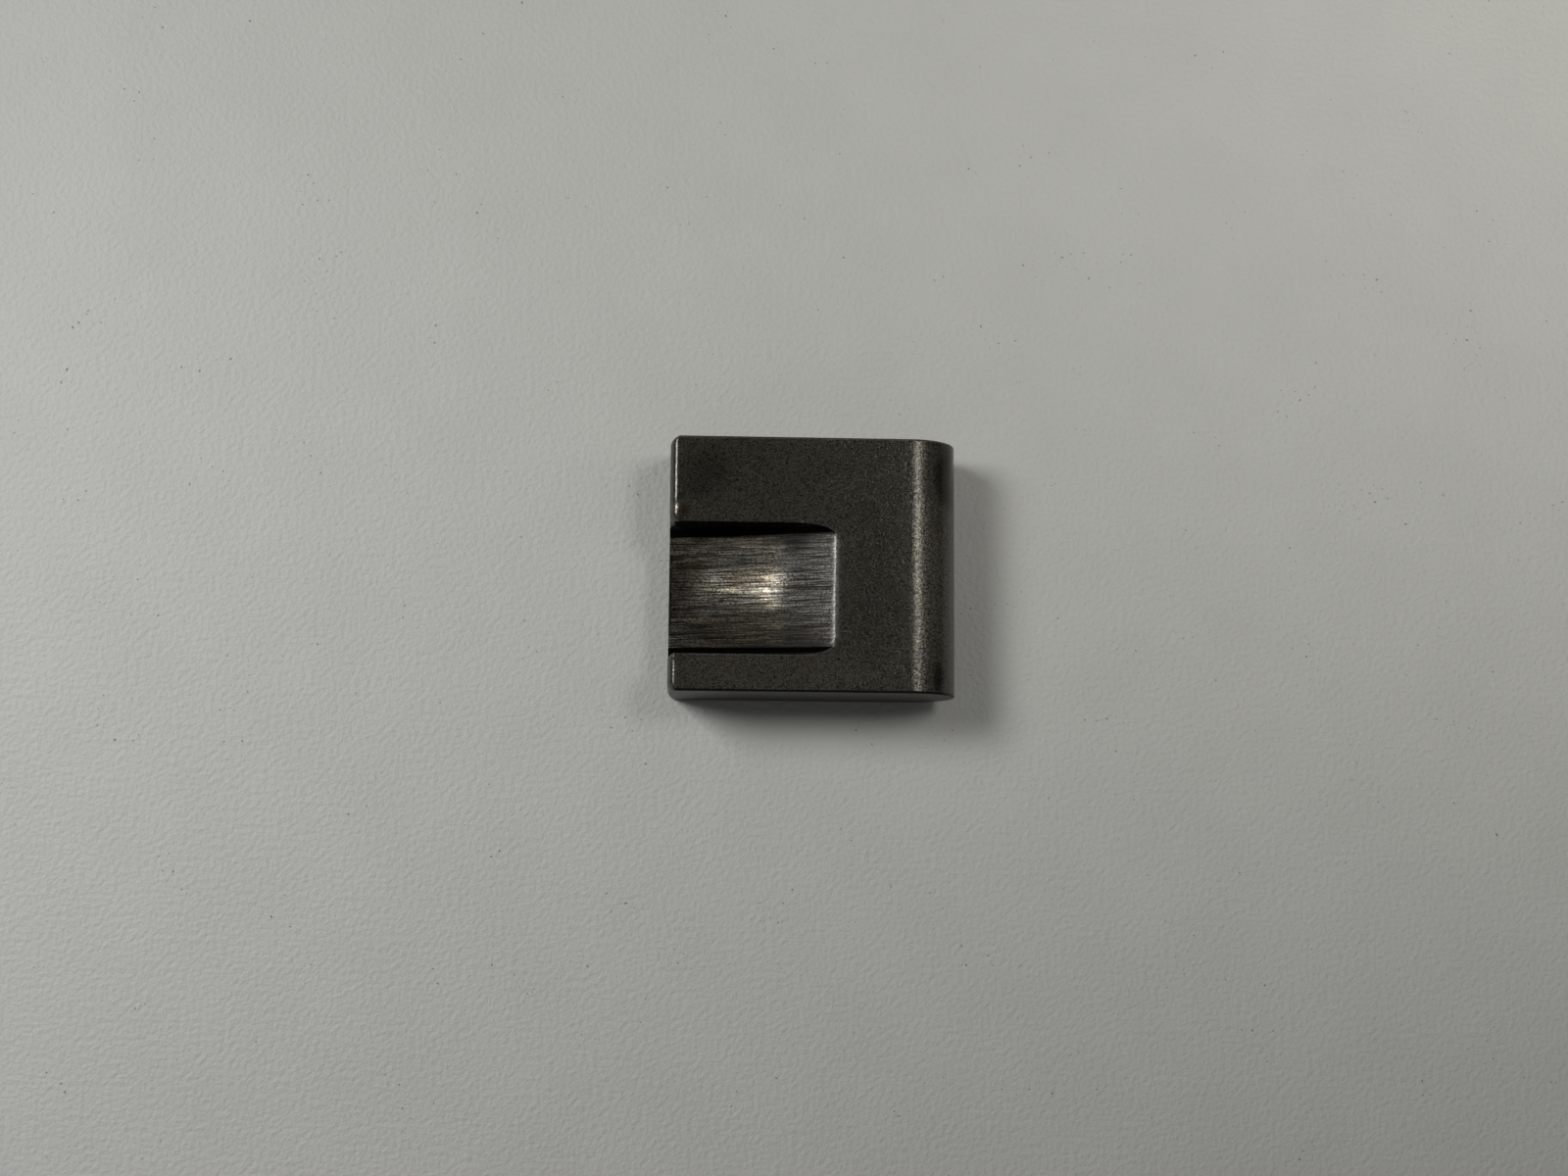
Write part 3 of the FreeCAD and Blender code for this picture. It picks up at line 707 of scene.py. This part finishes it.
def groundSlot():
    material, links, shader = newMaterial("groundSlot")
    place = inMillimetres(material)
    split = addNode(material, "SeparateXYZ", {0: place})
    x, y = split.outputs["X"], split.outputs["Y"]
    wobble = noiseAt(material, place, 0.5, 3.0, stretch=(0.2, 1, 1))
    border = maths(material, "ADD", x, maths(material, "MULTIPLY", wobble, slotFinish["freshWander"]))
    start = slotFinish["freshFrom"]
    fresh = ramp(material, border, (start - 0.2, start + slotFinish["freshReach"]), (0, 1))
    # grinding lines, level at first and leaning near the run-out
    turn = -slotFinish["freshTurn"]
    stretch, freshStretch = slotFinish["streakStretch"], slotFinish["freshStretch"]
    fineSize, broadSize = slotFinish["streakSizes"]
    freshFine, freshBroad = slotFinish["freshSizes"]
    fine = between(material, fresh, noiseAt(material, place, fineSize, 1.0, stretch),
                   noiseAt(material, place, freshFine, 1.0, stretch, turn))
    broad = between(material, fresh, noiseAt(material, place, broadSize, 3.0, stretch),
                    noiseAt(material, place, freshBroad, 3.0, freshStretch, turn))
    # colour: brown patches on the old cut, grey on the fresh one, and the lines
    patches = noiseAt(material, place, slotFinish["patchSize"], 4.0, stretch=(0.6, 1, 1))
    brown = ramp(material, patches, (0.42, 0.62), (0, 1))
    colour = blended(material, brown, slotFinish["metal"], slotFinish["brown"])
    colour = blended(material, fresh, colour, slotFinish["grey"])
    strong = ramp(material, fresh, (0, 1), (0.16, 0.62))
    broadTone = between(material, strong, 1.0, ramp(material, broad, (0.35, 0.65), (0.0, 1.9)))
    contrast = maths(material, "MULTIPLY", ramp(material, fine, (0.32, 0.68), (0.2, 1.75)), broadTone)
    specks = noiseAt(material, place, slotFinish["speckSize"], 3.0, stretch=(0.8, 1, 1))
    specks = ramp(material, specks, (0.32, 0.68), (0.25, 1.75))
    colour = dimmed(material, colour, maths(material, "MULTIPLY", contrast, specks))
    uneven = shaken(material, place, *slotFinish["markEdge"])
    colour = withMarksAndPaintedLight(material, place, colour, slotMarksAndPaintedGlare, slotScratches, uneven)
    # painted shade: the roots are painted near black, dimming to a dark tone at the walls
    middle, half = s["slotMiddle"], s["slotWidth"] / 2
    foot = half - s["rootRound"]
    off = maths(material, "ABSOLUTE", maths(material, "SUBTRACT", y, middle))
    front = ramp(material, y, (middle - 1, middle + 1), (slotFinish["frontShadeShift"], 0))
    shift = maths(material, "ADD", ramp(material, x, (openEnd, runOutX), slotFinish["rootShadeShift"]), front)
    root = ramp(material, maths(material, "SUBTRACT", off, shift), (foot - 0.03, foot + 0.05), (0, 1))
    wall = ramp(material, off, (half - 0.4, half - 0.02), (0, 1))
    wallTone = dimmed(material, plain(material, slotFinish["wall"]), specks)
    colour = blended(material, root, colour, blended(material, wall, slotFinish["root"], wallTone))
    # the run-out and rims lightened towards bare metal: wear and a painted highlight
    wearAndSheen = ramp(material, specks, (0.6, 1.4), (0.5, 1.0))
    wearAndSheen = maths(material, "MULTIPLY", painted(material, "wearAndSheen"), wearAndSheen)
    links.new(blended(material, wearAndSheen, colour, slotFinish["wornAndSheen"]), shader.inputs["Base Color"])
    # the painted shade in the roots is also made fully metallic and dull
    bare = maths(material, "SUBTRACT", root, maths(material, "MULTIPLY", wall, 0.5))
    links.new(ramp(material, bare, (0, 1), (slotFinish["metallic"], 1.0)), shader.inputs["Metallic"])
    shader.inputs["Specular Tint"].default_value = slotFinish["edgeTint"]
    shader.inputs["Anisotropic"].default_value = slotFinish["anisotropy"]
    tangent = addNode(material, "CombineXYZ", {"Y": 1.0})
    links.new(tangent.outputs[0], shader.inputs["Tangent"])
    rough = ramp(material, broad, (0.3, 0.7), (0.85, 1.2))
    rough = maths(material, "MULTIPLY", rough, slotFinish["roughness"])
    dull = maths(material, "MULTIPLY", root, slotFinish["rootRoughness"])
    links.new(maths(material, "MAXIMUM", rough, dull), shader.inputs["Roughness"])
    height = maths(material, "ADD", fine, maths(material, "MULTIPLY", broad, 2.0))
    raised(material, shader, height, slotFinish["streakDepth"])
    return material


piece.data.materials.append(blastedMetal())
piece.data.materials.append(groundSlot())
print("finish of the block")

# floor: sizes of its texture in millimetres
tableLook = {
    "half": 1.5,  # metres
    "tone": (0.625, 0.625, 0.60, 1),
    "roughness": 0.55,
    "specular": 0.3,
    "grainSize": 0.55,
    "grainDepth": 0.145,
    "blotchSize": 9.0,
    "blotch": 0.02,
    "speckSize": 0.45,
    "speckTone": 0.4,
    "clusterSize": 6.0,  # the specks come in loose clusters
}


def paleTable():
    material, links, shader = newMaterial("paleTable")
    place = inMillimetres(material)
    grain = noiseAt(material, place, tableLook["grainSize"], 3.0, stretch=(1, 1, 0))
    blotch = noiseAt(material, place, tableLook["blotchSize"], 4.0, stretch=(1, 1, 0))
    specks = noiseAt(material, place, tableLook["speckSize"], 1.0, stretch=(1, 1, 0))
    clusters = noiseAt(material, place, tableLook["clusterSize"], 1.0, stretch=(1, 1, 0))
    speck = maths(material, "MULTIPLY", ramp(material, specks, (0.7, 0.76), (0, 1)),
                  ramp(material, clusters, (0.56, 0.64), (0, 1)))
    tone = ramp(material, blotch, (0.2, 0.8), (1 - tableLook["blotch"], 1 + tableLook["blotch"]))
    colour = dimmed(material, plain(material, tableLook["tone"]), tone)
    colour = tinted(material, colour, speck, tableLook["speckTone"])
    links.new(colour, shader.inputs["Base Color"])
    shader.inputs["Roughness"].default_value = tableLook["roughness"]
    shader.inputs["Specular IOR Level"].default_value = tableLook["specular"]
    raised(material, shader, grain, tableLook["grainDepth"])
    return material


def makeTable():
    half = tableLook["half"]
    mesh = bpy.data.meshes.new("table")
    corners = [(-half, -half, 0), (half, -half, 0), (half, half, 0), (-half, half, 0)]
    mesh.from_pydata(corners, [], [(0, 1, 2, 3)])
    table = bpy.data.objects.new("table", mesh)
    bpy.context.scene.collection.objects.link(table)
    mesh.materials.append(paleTable())


makeTable()
print("floor")

# lights, in metres: tilt from straight overhead towards +X and +Y in degrees, as seen from the block
lights = {
    "leftPanel": {"tilt": (-40, 18), "distance": 0.31, "size": (0.122, 0.094), "aim": (-0.08, -0.06),
                  "spread": 112, "power": 0.212, "colour": (1.0, 1.0, 0.99)},
    "rightPanel": {"tilt": (23, 13), "distance": 0.31, "size": (0.066, 0.095), "aim": (0.135, 0.16),
                   "spread": 107, "power": 0.155, "colour": (1.0, 0.985, 0.93)},
    "rightGlow": {"tilt": (38, 13), "distance": 0.31, "size": (0.09, 0.095), "aim": (0.147, 0.178),
                  "spread": 107, "power": 0.042, "colour": (1.0, 0.985, 0.93)},
}


def makeLight(name, look):
    data = bpy.data.lights.new(name, "AREA")
    data.shape = "RECTANGLE"
    data.size, data.size_y = look["size"]
    data.energy = look["power"]
    data.spread = math.radians(look["spread"])
    data.color = look["colour"]
    light = bpy.data.objects.new(name, data)
    bpy.context.scene.collection.objects.link(light)
    across, along = (math.tan(math.radians(a)) for a in look["tilt"])
    light.location = Vector((across, along, 1)).normalized() * look["distance"]
    aim = Vector((*look["aim"], 0))
    light.rotation_euler = (light.location - aim).to_track_quat("Z", "Y").to_euler()


for name, look in lights.items():
    makeLight(name, look)
print("lights")

sky = {"dark": 0.024, "overhead": 0.03, "right": 0.05, "front": 0.11}


def makeSky():
    # dim all round, a little lighter overhead, lighter low in front and on the right
    world = bpy.data.worlds.new("softSky")
    bpy.context.scene.world = world
    world.use_nodes = True
    background = world.node_tree.nodes["Background"]
    place = addNode(world, "TexCoord", {})
    split = addNode(world, "SeparateXYZ", {0: place.outputs["Generated"]})
    overhead = ramp(world, split.outputs["Z"], (0.3, 1.0), (0, sky["overhead"]))
    right = ramp(world, split.outputs["X"], (0.2, 0.95), (0, sky["right"]))
    front = ramp(world, split.outputs["Y"], (-0.95, -0.2), (sky["front"], 0))
    strength = maths(world, "ADD", maths(world, "ADD", overhead, right),
                     maths(world, "ADD", front, sky["dark"]))
    world.node_tree.links.new(strength, background.inputs["Strength"])
    background.inputs["Color"].default_value = (1, 1, 1, 1)


makeSky()
bpy.context.scene.view_settings.view_transform = "Standard"

cameraSpot = {
    "place": (-12.0, -35.61, 237.84),  # mm from the middle of the underside
    "turn": (8.235, -2.33, 0.475),  # degrees
    "lens": 54.0,
    "sensor": 36,
}


def makeCamera():
    data = bpy.data.cameras.new("camera")
    data.sensor_width = cameraSpot["sensor"]
    data.lens = cameraSpot["lens"]
    data.clip_start = 0.01
    camera = bpy.data.objects.new("camera", data)
    bpy.context.scene.collection.objects.link(camera)
    camera.location = Vector(cameraSpot["place"]) * mm
    camera.rotation_euler = [math.radians(a) for a in cameraSpot["turn"]]
    bpy.context.scene.camera = camera


makeCamera()
print("camera")
